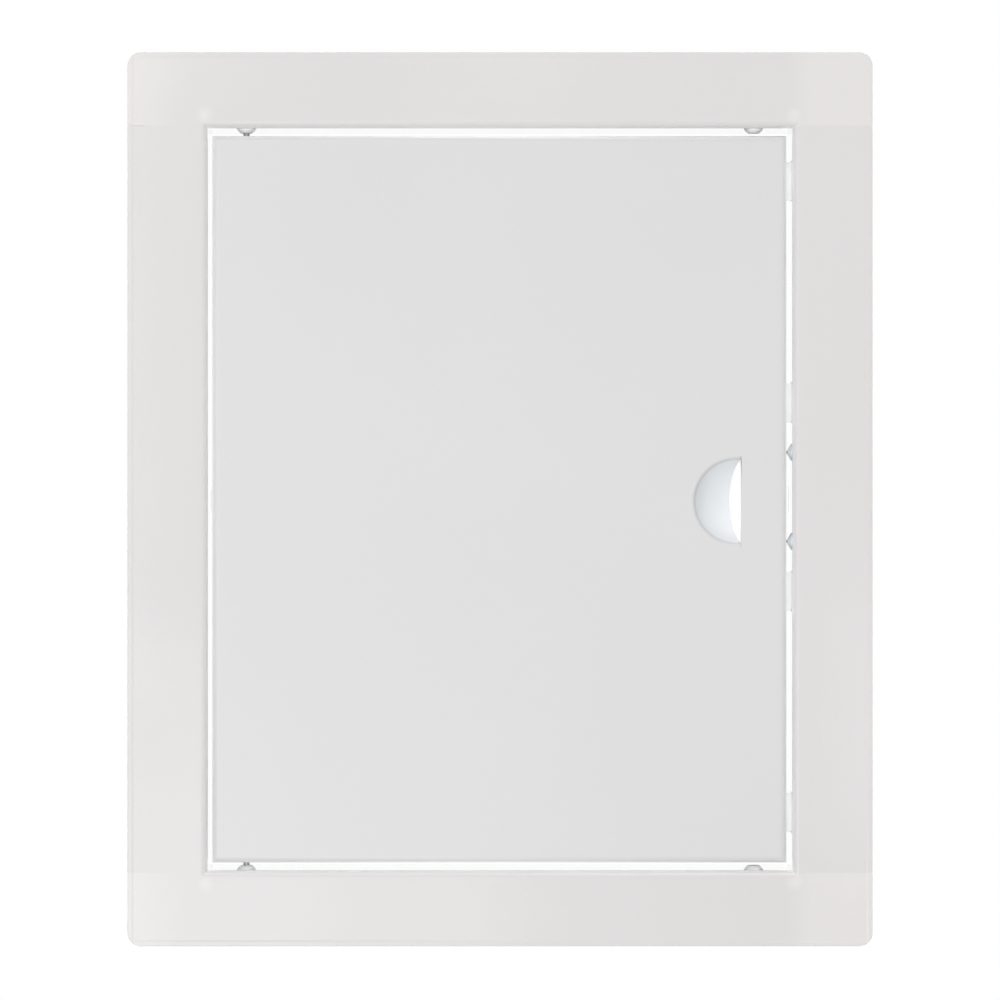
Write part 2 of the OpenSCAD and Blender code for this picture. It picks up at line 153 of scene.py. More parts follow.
class Link:
    """One socket of a node tree, or only the tree where no socket is meant."""

    def __init__(self, tree, socket=None):
        self.tree = tree
        self.socket = socket

    def node(self, kind, out, settings=(), sockets=()):
        """Adds a node of that kind, sets it up, fills its sockets and returns one of its outputs."""
        made = self.tree.nodes.new(kind)
        for name, value in dict(settings).items():
            setattr(made, name, value)
        for key, value in dict(sockets).items():
            socket = pick(made.inputs, key)
            if isinstance(value, Link):
                self.tree.links.new(value.socket, socket)
            else:
                socket.default_value = value
        return Link(self.tree, pick(made.outputs, out) if out else None)

    def math(self, operation, first, second=0.0):
        """One Math node over one or two values."""
        terms = {"Value": first, "Value_001": second}
        return self.node("ShaderNodeMath", "Value", {"operation": operation}, terms)

    def __add__(self, other):
        return self.math("ADD", self, other)

    def __radd__(self, other):
        return self.math("ADD", other, self)

    def __sub__(self, other):
        return self.math("SUBTRACT", self, other)

    def __rsub__(self, other):
        return self.math("SUBTRACT", other, self)

    def __mul__(self, other):
        return self.math("MULTIPLY", self, other)

    def __rmul__(self, other):
        return self.math("MULTIPLY", other, self)

    def __truediv__(self, other):
        return self.math("DIVIDE", self, other)

    def __rtruediv__(self, other):
        return self.math("DIVIDE", other, self)

    def __abs__(self):
        return self.math("ABSOLUTE", self)

    def step(self, start, end):
        """Rises smoothly from 0 to 1 as this value goes from start to end."""
        terms = {"Value": self, "From Min": start, "From Max": end}
        return self.node("ShaderNodeMapRange", "Result", {"interpolation_type": "SMOOTHSTEP"}, terms)

    def noise(self, scale, detail):
        """Smooth noise about 0 to 1 over these coordinates, with features about 1 / scale apart."""
        terms = {"Vector": self, "Scale": scale, "Detail": detail, "Roughness": 0.5}
        return self.node("ShaderNodeTexNoise", "Fac", {}, terms)

    def axes(self):
        """The X, Y and Z of these coordinates."""
        split = self.node("ShaderNodeSeparateXYZ", "X", {}, {"Vector": self}).socket.node
        return [Link(self.tree, split.outputs[axis]) for axis in "XYZ"]

    def bump(self, strength, distance, under=None):
        """A surface whose height is this value, on top of another bump if there is one."""
        terms = {"Height": self, "Strength": strength, "Distance": distance}
        if under is not None:
            terms["Normal"] = under
        return self.node("ShaderNodeBump", "Normal", {}, terms)

    def mix(self, first, second):
        """The first colour where this value is 0, the second where it is 1."""
        terms = {"Factor_Float": self, "A_Color": first, "B_Color": second}
        return self.node("ShaderNodeMix", "Result_Color", {"data_type": "RGBA"}, terms)


def new_finish(name):
    """An empty material, and the Object coordinates in metres that its patterns read."""
    material = bpy.data.materials.new(name)
    material.use_nodes = True
    material.node_tree.nodes.clear()
    return material, Link(material.node_tree).node("ShaderNodeTexCoord", "Object")


def close_finish(material, sockets):
    """Gives the material one Principled shader with these sockets."""
    tree = Link(material.node_tree)
    shader = tree.node("ShaderNodeBsdfPrincipled", "BSDF", {}, sockets)
    tree.node("ShaderNodeOutputMaterial", None, {}, {"Surface": shader})
    print("finish", material.name, "nodes:", len(material.node_tree.nodes))
    return material


# %% [markdown]
# ## A white studio
# The hatch hangs against plain white. Lighting a backdrop until it burns out would also burn out the
# paint, so the world shows white only to camera, mirror and glass rays, and gives the object a
# calmer grey light. Much of the light comes from an upright and a level strip behind the camera,
# because only light along the gaps gets down into them. Those stay out of reflections, and so do a
# small lamp at the lower left and the two behind the hatch, which light its back and the stop tabs.
# The others are mirrored: a broad one above lights the edges that face up, a strip on the left draws
# the fine light line along the bends, and soft boxes put a sheen on the left side and the lower right.
# Where the edge of such a box is mirrored in the flange, the orange peel breaks it up into speckles.

# %% Light the world
def seen_directly(tree):
    """1 for rays that the camera, a mirror or glass sends out, and 0 for those that only carry light."""
    rays = Link(tree).node("ShaderNodeLightPath", "Is Camera Ray").socket.node
    camera_ray, mirror_ray, glass_ray = (
        Link(tree, rays.outputs[f"Is {kind} Ray"]) for kind in ("Camera", "Glossy", "Transmission")
    )
    return Link(tree).math("MINIMUM", camera_ray + mirror_ray + glass_ray, 1.0)


WORLD_LIGHT = 0.265
world = bpy.data.worlds.new("studio")
scene.world = world
world.use_nodes = True
world.node_tree.nodes.clear()
studio = Link(world.node_tree)
sky = seen_directly(world.node_tree).mix((WORLD_LIGHT, WORLD_LIGHT, WORLD_LIGHT, 1), (1, 1, 1, 1))
background = studio.node("ShaderNodeBackground", "Background", {}, {"Color": sky, "Strength": 1.0})
studio.node("ShaderNodeOutputWorld", None, {}, {"Surface": background})


# %% Place the lamps
COOL = (0.93, 0.97, 1.0)
STRAIGHT = Vector((0, 1, 0))


def soft_lamp(name, place, size, watts, look=None, mirrored=True, roll=0.0, color=(1, 1, 1)):
    """An area lamp that the camera doesn't see, turned to the hatch's middle or a given way."""
    data = bpy.data.lights.new(name, "AREA")
    data.shape = "RECTANGLE"
    data.size, data.size_y = size
    data.energy = watts
    data.color = color
    lamp = bpy.data.objects.new(name, data)
    lamp.location = place
    lamp.rotation_mode = "QUATERNION"
    turned = (look or -Vector(place)).to_track_quat("-Z", "Y")
    lamp.rotation_quaternion = turned @ Quaternion((0, 0, 1), math.radians(roll))
    lamp.visible_camera = False
    lamp.visible_glossy = mirrored
    bpy.context.collection.objects.link(lamp)


soft_lamp("front upright", (0, -2.30, 0.05), (0.10, 0.90), 20.5, mirrored=False)
soft_lamp("front level", (-0.05, -2.30, 0), (0.90, 0.10), 2.7, mirrored=False)
soft_lamp("above", (-0.15, -1.25, 1.90), (1.6, 1.2), 18)
soft_lamp("left strip", (-1.05, -2.30, 0.10), (0.30, 1.20), 3)
soft_lamp("right", (1.75, -1.20, -0.55), (1.2, 1.4), 2.0, color=COOL)
soft_lamp("below", (0.10, -1.60, -1.50), (1.2, 0.8), 2.4, color=COOL)
soft_lamp("lower left", (-0.60, -0.80, -0.60), (0.4, 0.4), 0.8, mirrored=False)
soft_lamp("lower left sheen", (-0.42, -2.50, -0.56), (0.6, 0.67), 0.86, STRAIGHT)
soft_lamp("lower left glow", (-0.55, -2.60, -0.665), (1.1, 1.1), 4.8, STRAIGHT)
soft_lamp("left sheen", (-0.533, -2.45, 0.425), (0.54, 1.15), 2.0, STRAIGHT)
soft_lamp("right sheen", (0.445, -2.45, -0.178), (0.40, 0.205), 0.26, STRAIGHT)
soft_lamp("corner sheen", (-0.29, -2.45, 0.36), (0.14, 0.14), 0.10, STRAIGHT, roll=45)
soft_lamp("back left", (-1.50, 1.60, 0.70), (1.0, 1.0), 24, mirrored=False)
soft_lamp("back right", (1.50, 1.60, 0.30), (1.0, 1.0), 24, mirrored=False)

# %% [markdown]
# ## Powder coat
# Powder coat is baked plastic: glossy, never quite flat, with a fine orange peel a millimetre or two
# across, a slow waviness from the sheet below, and a fat edge where it drew back from the border. A
# texture map would need unwrapping. Noise on Object coordinates works in real metres on every rail at
# once, so the peel keeps one size. Behind the front the paint is smoother and glossier, and it is
# painted whiter there: painted light that lifts the shade on the bends, in the gaps and on the stop
# tabs. The finger pull is painted lighter and cooler, and the ends of the top and bottom rails and the
# weld swellings a little lighter, all painted light as well.

# %% Sizes and shades of the paint
PEEL = 2.0 * MM
FINE_PEEL, FINE_SHARE = PEEL / 2.7, 0.35
PEEL_STRENGTH, PEEL_ROUGH = 0.35, 0.03
WAVE = 45 * MM
WAVE_BUMP = (0.5, 0.10 * MM)
CLOUD = 3 * WAVE
CLOUD_EDGE = (0.3, 0.7)
SPECK_CELL = 9 * MM
SPECK_SIZE, SPECK_SHARE = (0.02, 0.04), 0.2
BEHIND = (-0.55 * MM, 1.05 * MM)
SMOOTHEST = 0.03
# Painted light: this whiter paint behind the front lifts the shade on the bends, in the gaps and on the
# stop tabs.
PAINTED_LIGHT_INSIDE = (0.94, 0.94, 0.945, 1)
# Painted light: the pull's hollow is painted lighter and bluer than the front, lifting its shade and
# adding a cool cast.
PULL_PAINTED_LIGHT = (0.80, 0.828, 0.85, 1)
# Painted sheen: a lighter, warmer tone for the ends of the top and bottom rails and the weld swellings.
PAINTED_SHEEN_TONE = (0.75, 0.725, 0.715, 1)
SPECK_COLOR = (0.45, 0.44, 0.42, 1)
print("peel %.1f mm, waves %.0f mm, clouds %.0f mm" % (PEEL / MM, WAVE / MM, CLOUD / MM))

# %% Where the paint is thicker, and where light and sheen are painted in
RIDGE_UP, RIDGE_DOWN, RIDGE_SHARE = (0.3 * MM, 1.1 * MM), (1.3 * MM, 2.1 * MM), 0.7
# The weld swellings get this share of painted sheen on top of their real bump.
WELD_SPOT, WELD_SHEEN_SHARE = (0.36 * MM, 3.6 * MM), 0.4
WELD_ACROSS, WELD_ALONG = wall_x + 0.3 * MM, wall_z + 4.2 * MM
LEFT_SQUARE, RIGHT_SQUARE = (wall_x + 4 * MM, outer_x), (wall_x - 3 * MM, wall_x + 7 * MM)
SQUARE_EDGE, CORNER_SHEEN_SHARE = (seam_z - 0.2 * MM, seam_z + 0.2 * MM), 0.35
THICK_BUMP = (1.0, 0.06 * MM)
PULL_EDGE = (17.0 * MM, 18.5 * MM)


def fat_edge(x, z):
    """A low ridge about a millimetre in from the border of the flange."""
    border = x.math("MINIMUM", outer_x - abs(x), outer_z - abs(z))
    return border.step(*RIDGE_UP) * (1 - border.step(*RIDGE_DOWN))


def distance(across, along):
    """How far a point lies away, from its two steps to the side."""
    return across.math("SQRT", across * across + along * along)


def weld_swelling(x, z):
    """A round swelling in front of each corner of the opening, where the rails are welded."""
    away = distance(abs(x) - WELD_ACROSS, abs(z) - WELD_ALONG)
    return 1 - away.step(*WELD_SPOT)


def corner_painted_sheen(x, z):
    """The ends of the top and bottom rails, which get a painted sheen: a lighter tone painted in, with a
    sharp step at the seam.
    """
    ends = (x / -1).step(*LEFT_SQUARE) + x.step(*RIGHT_SQUARE)
    return ends * abs(z).step(*SQUARE_EDGE)


def in_pull(x, z):
    """1 at the finger pull and 0 at the folded edges of the door."""
    return 1 - distance(x - pull_middle.x, z - pull_middle.z).step(*PULL_EDGE)


# %% Paint for the frame and for the door
def powder_coat(name, light, dark, peel_height, roughness, is_frame):
    """White powder coat between two near shades; painted light makes it whiter behind the front, lighter
    and cooler in the pull, and lighter at the frame's rail ends and weld swellings.
    """
    material, place = new_finish(name)
    x, y, z = place.axes()
    outside = 1 - y.step(*BEHIND)
    peel = place.noise(1 / PEEL, 1.5) + FINE_SHARE * place.noise(1 / FINE_PEEL, 1.0)
    wave = place.noise(1 / WAVE, 1.0)
    cloud = place.noise(1 / CLOUD, 2.0)
    cells = {"Vector": place, "Scale": 1 / SPECK_CELL}
    speck = 1 - place.node("ShaderNodeTexVoronoi", "Distance", {}, cells).step(*SPECK_SIZE)
    shade = cloud.step(*CLOUD_EDGE).mix(light, dark)
    normal = (wave * outside).bump(*WAVE_BUMP)
    # Behind the front the paint is painted whiter, as painted light.
    gloss, inside_painted_light = 0.0, PAINTED_LIGHT_INSIDE
    if is_frame:
        spot = weld_swelling(x, z)
        # Painted sheen: the rail ends and the weld swellings are painted lighter; the swellings are also
        # raised by a real bump.
        shade = (CORNER_SHEEN_SHARE * corner_painted_sheen(x, z) + WELD_SHEEN_SHARE * spot).mix(shade, PAINTED_SHEEN_TONE)
        normal = (spot + RIDGE_SHARE * fat_edge(x, z)).bump(*THICK_BUMP, normal)
        gloss = 1 - outside
    else:
        # In the door's hollows the whiter paint and the lighter, cooler pull are painted light.
        inside_painted_light = in_pull(x, z).mix(PAINTED_LIGHT_INSIDE, PULL_PAINTED_LIGHT)
    color = outside.mix(inside_painted_light, (SPECK_SHARE * speck).mix(shade, SPECK_COLOR))
    normal = (peel * outside).bump(PEEL_STRENGTH, peel_height, normal)
    return close_finish(material, {
        "Base Color": color, "Roughness": SMOOTHEST + (roughness + PEEL_ROUGH * peel) * outside,
        "Normal": normal, "IOR": 1.5, "Coat Weight": gloss, "Coat Roughness": SMOOTHEST,
    })


frame_coat = powder_coat(
    "frame_coat", (0.650, 0.634, 0.631, 1), (0.638, 0.622, 0.619, 1),
    peel_height=0.045 * MM, roughness=0.02, is_frame=True,
)
door_coat = powder_coat(
    "door_coat", (0.631, 0.628, 0.630, 1), (0.621, 0.618, 0.620, 1),
    peel_height=0.007 * MM, roughness=0.13, is_frame=False,
)

# %% [markdown]
# ## Moulded plastic and bare metal
# The bushes and plungers are injection-moulded: satin, with faint flow clouds. The plungers are
# painted a darker, cooler grey than the white bushes: painted shade with a cool cast. Where a plunger's
# nose meets the door its tip is painted dark, a painted shadow. The pins are turned on a lathe, which
# leaves fine rings along their axis, and the springs and cups are drawn wire and zinc-plated sheet.

# %% Plastics
FLOW = 2.5 * MM
FLOW_EDGE = (0.35, 0.65)
SATIN, FLOW_ROUGH = 0.30, 0.10
GRAIN, GRAIN_BUMP = 0.12 * MM, (0.25, 0.01 * MM)
# A painted shadow darkens the plunger's nose over this reach from its tip, where it meets the door.
TIP_SHADOW_REACH = (0.20 * MM, 0.45 * MM)
TIP_SHADOW_COLOR = (0.03, 0.03, 0.03, 1)
nose_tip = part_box("catch_plunger_upper")[0].x


def moulded_plastic(name, light, dark, tip_shadow):
    """Satin plastic with flow clouds between two shades, and, if asked, a painted shadow darkening the
    tip where it meets the door.
    """
    material, place = new_finish(name)
    flow = place.noise(1 / FLOW, 3.0)
    grain = place.noise(1 / GRAIN, 1.0)
    color = flow.step(*FLOW_EDGE).mix(light, dark)
    if tip_shadow:
        x = place.axes()[0]
        # Painted shadow at the tip of the nose.
        painted_tip_shadow = 1 - (x - nose_tip).step(*TIP_SHADOW_REACH)
        color = painted_tip_shadow.mix(color, TIP_SHADOW_COLOR)
    return close_finish(material, {
        "Base Color": color, "Roughness": SATIN + FLOW_ROUGH * flow,
        "Normal": grain.bump(*GRAIN_BUMP), "IOR": 1.46,
    })


bush_moulding = moulded_plastic(
    "bush_moulding", (0.86, 0.857, 0.855, 1), (0.82, 0.82, 0.82, 1), tip_shadow=False
)
# Painted shade: the plungers get a darker, cooler grey than the white bushes, standing in for their
# shade and a cool cast.
plunger_shaded_moulding = moulded_plastic(
    "plunger_shaded_moulding", (0.70, 0.745, 0.78, 1), (0.66, 0.705, 0.745, 1), tip_shadow=True
)

# %% Metals
STAIN = 3 * MM
STAIN_EDGE = (0.3, 0.7)
STAIN_SHARE, STAIN_ROUGH = 0.4, 0.15
LINE_SHARE, LINE_BUMP = 0.6, (0.3, 0.01 * MM)
RING = 1 / (0.08 * MM)
SPANGLE = 1 / (1.2 * MM)
PIN_ROUND, WIRE_ROUND = 400, 900


def bare_metal(name, light, dark, stretch, roughness):
    """Metal whose tool marks are noise squeezed along one axis, so that they run as fine lines."""
    material, place = new_finish(name)
    squeezed = place.node("ShaderNodeMapping", "Vector", {}, {"Vector": place, "Scale": stretch})
    lines = squeezed.noise(1.0, 2.0)
    stain = place.noise(1 / STAIN, 3.0)
    color = (LINE_SHARE * lines + STAIN_SHARE * stain).step(*STAIN_EDGE).mix(light, dark)
    return close_finish(material, {
        "Base Color": color, "Metallic": 1.0, "Roughness": roughness + STAIN_ROUGH * stain,
        "Normal": lines.bump(*LINE_BUMP),
    })


turned_steel = bare_metal(
    "turned_steel", (0.36, 0.365, 0.37, 1), (0.25, 0.255, 0.265, 1),
    stretch=(PIN_ROUND, PIN_ROUND, RING), roughness=0.24,
)
drawn_wire = bare_metal(
    "drawn_wire", (0.42, 0.42, 0.43, 1), (0.30, 0.305, 0.315, 1),
    stretch=(RING, WIRE_ROUND, WIRE_ROUND), roughness=0.28,
)
zinc_sheet = bare_metal(
    "zinc_sheet", (0.66, 0.67, 0.69, 1), (0.54, 0.55, 0.58, 1),
    stretch=(SPANGLE, SPANGLE, SPANGLE), roughness=0.34,
)

# %% [markdown]
# ## Rounding sheet edges
# Sheared and painted sheet has no knife edges: paint pulls into a small round that catches the
# light. The plain model's mesh is loose triangles, so a copy is merged, its flat faces are made whole
# again, and a Bevel rounds only the sharp edges. Weighted normals then keep the large faces flat.

# %% Which edges are rounded
MERGE_GAP = 0.002 * MM
SHARP_OVER = math.radians(50)
MITRE_REACH = 3.2 * MM
SEAM_NEAR = 0.3 * MM
SEAM_OPEN = 5.7 * MM
SPLIT_LEAST = 0.05
seam_fill_x = outer_x - SEAM_OPEN


def on_seam(edge):
    """Whether a front edge runs along the joint between two rails."""
    for corner in edge.verts:
        if abs(abs(corner.co.z) - seam_z) >= SEAM_NEAR or corner.co.y >= MERGE_GAP:
            return False
    return abs(edge.verts[0].co.x - edge.verts[1].co.x) > SEAM_NEAR


def open_seam(shape):
    """Divides the upper left seam's edges where the paint begins to fill the joint."""
    for edge in [edge for edge in shape.edges if on_seam(edge)]:
        near, far = sorted(edge.verts, key=lambda corner: -corner.co.x)
        share = (near.co.x + seam_fill_x) / (near.co.x - far.co.x)
        if near.co.z > 0 and SPLIT_LEAST < share < 1 - SPLIT_LEAST:
            bmesh.utils.edge_split(edge, near, share)


def round_share(edge):
    """How much of the full rounding an edge gets: none at small angles and where rails are mitred."""
    if edge.calc_face_angle(0.0) < SHARP_OVER:
        return 0.0
    if on_seam(edge):
        is_open = max(corner.co.x for corner in edge.verts) < MERGE_GAP - seam_fill_x
        return 1.0 if is_open and edge.verts[0].co.z > 0 else 0.0
    for corner in edge.verts:
        mitred = abs(corner.co.x) < wall_x + MITRE_REACH and abs(corner.co.z) > wall_z - MITRE_REACH
        if mitred and abs(corner.co.x) > wall_x - MITRE_REACH and corner.co.y < MITRE_REACH:
            return 0.0
    return 1.0


# %% Dress the model's own pieces
FLAT_WITHIN = math.radians(0.4)
FLAT_WEIGHT = 80
ROUND_STEPS = 3
SHEET_EDGE = 0.22 * MM
PLASTIC_EDGE = 0.12 * MM
PIN_EDGE = 0.06 * MM


def whole_mesh(node):
    """A copy of a node's mesh, merged, with its flat faces made whole and its sharp edges marked."""
    shape = bmesh.new()
    shape.from_mesh(frame["nodes"][node].data)
    bmesh.ops.remove_doubles(shape, verts=shape.verts, dist=MERGE_GAP)
    bmesh.ops.dissolve_limit(
        shape, angle_limit=FLAT_WITHIN, verts=shape.verts[:], edges=shape.edges[:]
    )
    for face in shape.faces:
        face.smooth = True
    open_seam(shape)
    share = shape.edges.layers.float.new("bevel_weight_edge")
    for edge in shape.edges:
        edge[share] = round_share(edge)
    mesh = bpy.data.meshes.new(node + "_finished")
    shape.to_mesh(mesh)
    shape.free()
    return mesh


def body_of(node):
    """The name of the body that a node belongs to."""
    return frame["nodes"][node]["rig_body"]


def dress(node, finish, edge):
    """Stands a rounded, finished piece in a node's place."""
    mesh = whole_mesh(node)
    mesh.materials.append(finish)
    piece = bpy.data.objects.new(node + "_finished", mesh)
    bpy.context.collection.objects.link(piece)
    bevel = piece.modifiers.new("edge round", "BEVEL")
    bevel.width = edge
    bevel.segments = ROUND_STEPS
    bevel.limit_method = "WEIGHT"
    bevel.use_clamp_overlap = False
    bevel.miter_outer = "MITER_ARC"
    flat = piece.modifiers.new("flat faces", "WEIGHTED_NORMAL")
    flat.keep_sharp = True
    flat.weight = FLAT_WEIGHT
    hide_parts(node)
    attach(piece, body_of(node))


for side in ("top", "bottom", "left", "right"):
    dress(f"frame_{side}_rail", frame_coat, SHEET_EDGE)
dress("door_panel", door_coat, SHEET_EDGE)
for end in ("top", "bottom"):
    dress(f"hinge_bush_{end}", bush_moulding, PLASTIC_EDGE)
    dress(f"spare_bush_{end}", bush_moulding, PLASTIC_EDGE)
    dress(f"hinge_pin_{end}", turned_steel, PIN_EDGE)
for end in ("upper", "lower"):
    dress(f"catch_plunger_{end}", plunger_shaded_moulding, PLASTIC_EDGE)
    dress(f"catch_cup_{end}", zinc_sheet, PLASTIC_EDGE)

# %% [markdown]
# ## Paint in the seams
# The rails are butted, and powder coat bridges the joints: only the outer end of the upper left one
# stays open as a fine line. The fill is a thin bar a hair below the front face, one for each joint, with
# a short upright bar at the notch beside the bend and a strip that follows the mitre of the two bends.
# Boxes and a strip of flat faces are enough, because only their front shows.

# %% Shapes of the fill
SIGNS = (-1, 1)
SEAM_GAP = 0.12 * MM
FILL_SUNK = 0.008 * MM
FILL_SHORT = 0.25 * MM
BEND = 2.2 * MM
MITRE_STEPS = 8
MITRE_START, MITRE_SWEEP = math.radians(15), math.radians(75)
mitre_deep = sheet / 4
mitre_section = ((-SEAM_GAP, 0), (SEAM_GAP, 0), (SEAM_GAP, mitre_deep), (-SEAM_GAP, mitre_deep))


def add_box(shape, low, high):
    """Adds a box between two corners to a mesh under construction."""
    made = bmesh.ops.create_cube(shape, size=1.0)["verts"]
    middle, size = (Vector(low) + Vector(high)) / 2, Vector(high) - Vector(low)
    for corner in made:
        corner.co = Vector(a * b for a, b in zip(corner.co, size)) + middle


def mitre_ring(shape, side, end, angle):
    """Adds the corners of the mitre strip's section at one angle of the bends."""
    inset = BEND * (1 - math.cos(angle))
    depth = front_y + BEND * (1 - math.sin(angle)) + FILL_SUNK
    ring = []
    for across, down in mitre_section:
        x, z = side * (wall_x + inset + across), end * (wall_z + inset - across)
        ring.append(shape.verts.new((x, depth + down, z)))
    return ring


def add_mitre(shape, side, end):
    """Adds a strip that follows the round of the bends, from the front down into the corner."""
    rings = [
        mitre_ring(shape, side, end, MITRE_START + MITRE_SWEEP * step / MITRE_STEPS)
        for step in range(MITRE_STEPS + 1)
    ]
    for ring, after in zip(rings, rings[1:]):
        for i in range(len(ring)):
            j = (i + 1) % len(ring)
            shape.faces.new((ring[i], ring[j], after[j], after[i]))
    shape.faces.new(rings[0])
    shape.faces.new(rings[-1])


# %% Fill the joints
notch_x = wall_x + BEND + SEAM_GAP / 2
fill_shape = bmesh.new()
for side in SIGNS:
    for end in SIGNS:
        fill_x = seam_fill_x if (side, end) == (-1, 1) else outer_x - FILL_SHORT
        for x0, x1, z0, z1 in (
            (notch_x, fill_x, seam_z - SEAM_GAP, seam_z),
            (notch_x, notch_x + SEAM_GAP, seam_z, wall_z + BEND + SEAM_GAP),
        ):
            xs, zs = sorted((side * x0, side * x1)), sorted((end * z0, end * z1))
            add_box(fill_shape, (xs[0], front_y + FILL_SUNK, zs[0]), (xs[1], front_y / 2, zs[1]))
        add_mitre(fill_shape, side, end)
bmesh.ops.recalc_face_normals(fill_shape, faces=fill_shape.faces)
fill_mesh = bpy.data.meshes.new("seam_paint")
fill_shape.to_mesh(fill_mesh)
fill_shape.free()
fill_mesh.materials.append(frame_coat)
seam_paint = bpy.data.objects.new("seam_paint", fill_mesh)
bpy.context.collection.objects.link(seam_paint)
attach(seam_paint, "frame")
print("seam fill faces:", len(fill_mesh.polygons))

# %% [markdown]
# ## Springs that follow a path
# A catch spring is one wire wound on a path: a closed turn at each end and open turns between. A
# Screw modifier winds evenly and can't close the ends. Geometry Nodes can place every point of a
# curve by its own share of the length, and the same tree makes both springs from named inputs.

# %% Start and end of a geometry tree
FLOAT, COUNT, FINISH = "NodeSocketFloat", "NodeSocketInt", "NodeSocketMaterial"
GEOMETRY = "NodeSocketGeometry"


def new_tree(name, inputs):
    """An empty geometry tree, its named inputs as links, and the identifier of each input."""
    tree = bpy.data.node_groups.new(name, "GeometryNodeTree")
    sockets = tree.interface
    sockets.new_socket("Geometry", in_out="INPUT", socket_type=GEOMETRY)
    for label, kind in inputs.items():
        sockets.new_socket(label, in_out="INPUT", socket_type=kind)
    sockets.new_socket("Geometry", in_out="OUTPUT", socket_type=GEOMETRY)
    known = {item.name: item.identifier for item in sockets.items_tree if item.in_out == "INPUT"}
    entry = tree.nodes.new("NodeGroupInput")
    links = {label: Link(tree, entry.outputs[label]) for label in ["Geometry", *inputs]}
    return tree, links, known


def close_tree(tree, shape, finish):
    """Realizes what the tree made, gives it its finish and leads it out."""
    made = Link(tree)
    whole = made.node("GeometryNodeRealizeInstances", "Geometry", {}, {"Geometry": shape})
    coat = {"Geometry": whole, "Material": finish}
    painted = made.node("GeometryNodeSetMaterial", "Geometry", {}, coat)
    made.node("NodeGroupOutput", None, {}, {"Geometry": painted})
    print("tree", tree.name, "nodes:", len(tree.nodes))


# %% A node group for a wound spring
WIRE_SIDES = 12
spring_tree, wind, spring_inputs = new_tree("wound_spring", {
    "Start": FLOAT, "Length": FLOAT, "Radius": FLOAT, "Wire": FLOAT, "Turns": FLOAT, "Points": COUNT,
    "Axis Y": FLOAT, "Axis Z": FLOAT, "Finish": FINISH,
})
winder = Link(spring_tree)
share = winder.node("GeometryNodeSplineParameter", "Factor")
end_turn = 1.0 / wind["Turns"]


def between(start, stop):
    """0 before start, 1 after stop and even between them, over the share of the wire's length."""
    terms = {"Value": share, "From Min": start, "From Max": stop}
    return winder.node("ShaderNodeMapRange", "Result", {}, terms)


closed = between(0.0, end_turn) + between(1 - end_turn, 1.0)
opened = between(end_turn, 1 - end_turn)
open_length = wind["Length"] - 3 * wind["Wire"]
along = wind["Start"] + 0.5 * wind["Wire"] + closed * wind["Wire"] + opened * open_length
turned = share * wind["Turns"] * (2 * math.pi)
path = winder.node("ShaderNodeCombineXYZ", "Vector", {}, {
    "X": along,
    "Y": wind["Axis Y"] + wind["Radius"] * winder.math("COSINE", turned),
    "Z": wind["Axis Z"] + wind["Radius"] * winder.math("SINE", turned),
})
straight = winder.node("GeometryNodeCurvePrimitiveLine", "Curve")
points = winder.node("GeometryNodeResampleCurve", "Curve", {}, {
    "Curve": straight, "Count": wind["Points"],
})
coil = winder.node("GeometryNodeSetPosition", "Geometry", {}, {"Geometry": points, "Position": path})
rim = winder.node("GeometryNodeCurvePrimitiveCircle", "Curve", {}, {
    "Resolution": WIRE_SIDES, "Radius": 0.5 * wind["Wire"],
})
wire = winder.node("GeometryNodeCurveToMesh", "Mesh", {}, {
    "Curve": coil, "Profile Curve": rim, "Fill Caps": True,
})
round_wire = winder.node("GeometryNodeSetShadeSmooth", "Geometry", {}, {"Geometry": wire})
close_tree(spring_tree, round_wire, wind["Finish"])


# %% Wind the two catch springs
def grow(name, tree, known, values, start=None):
    """Runs a tree with these values and returns the result as a plain mesh object."""
    piece = bpy.data.objects.new(name, start or bpy.data.meshes.new(name + "_start"))
    bpy.context.collection.objects.link(piece)
    modifier = piece.modifiers.new("tree", "NODES")
    modifier.node_group = tree
    for label, value in values.items():
        modifier[known[label]] = value
    ready = piece.evaluated_get(bpy.context.evaluated_depsgraph_get())
    mesh = bpy.data.meshes.new_from_object(ready)
    piece.modifiers.clear()
    piece.data = mesh
    print(name, "faces:", len(mesh.polygons))
    return piece


SPRING_WIRE = 0.5 * MM
SPRING_TURNS = 6.5
SPRING_POINTS = 360
for end in ("upper", "lower"):
    node = f"catch_spring_{end}"
    spring_low, spring_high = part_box(node)
    middle = (spring_low + spring_high) / 2
    spring = grow(f"{node}_wound", spring_tree, spring_inputs, {
        "Start": spring_low.x, "Length": spring_high.x - spring_low.x,
        "Radius": (spring_high.y - spring_low.y - SPRING_WIRE) / 2, "Wire": SPRING_WIRE,
        "Turns": SPRING_TURNS, "Points": SPRING_POINTS,
        "Axis Y": middle.y, "Axis Z": middle.z, "Finish": drawn_wire,
    })
    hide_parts(node)
    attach(spring, body_of(node))
    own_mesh(spring)

# %% [markdown]
# ## Spot welds
# The rails' corner tabs and the ears of the catch cups are spot-welded. The electrodes leave a round,
# shallow swelling on the outer sheet. One small lens is put on every marked point by a second tree,
# turned to the point's own direction, so that adding a weld means adding one point.

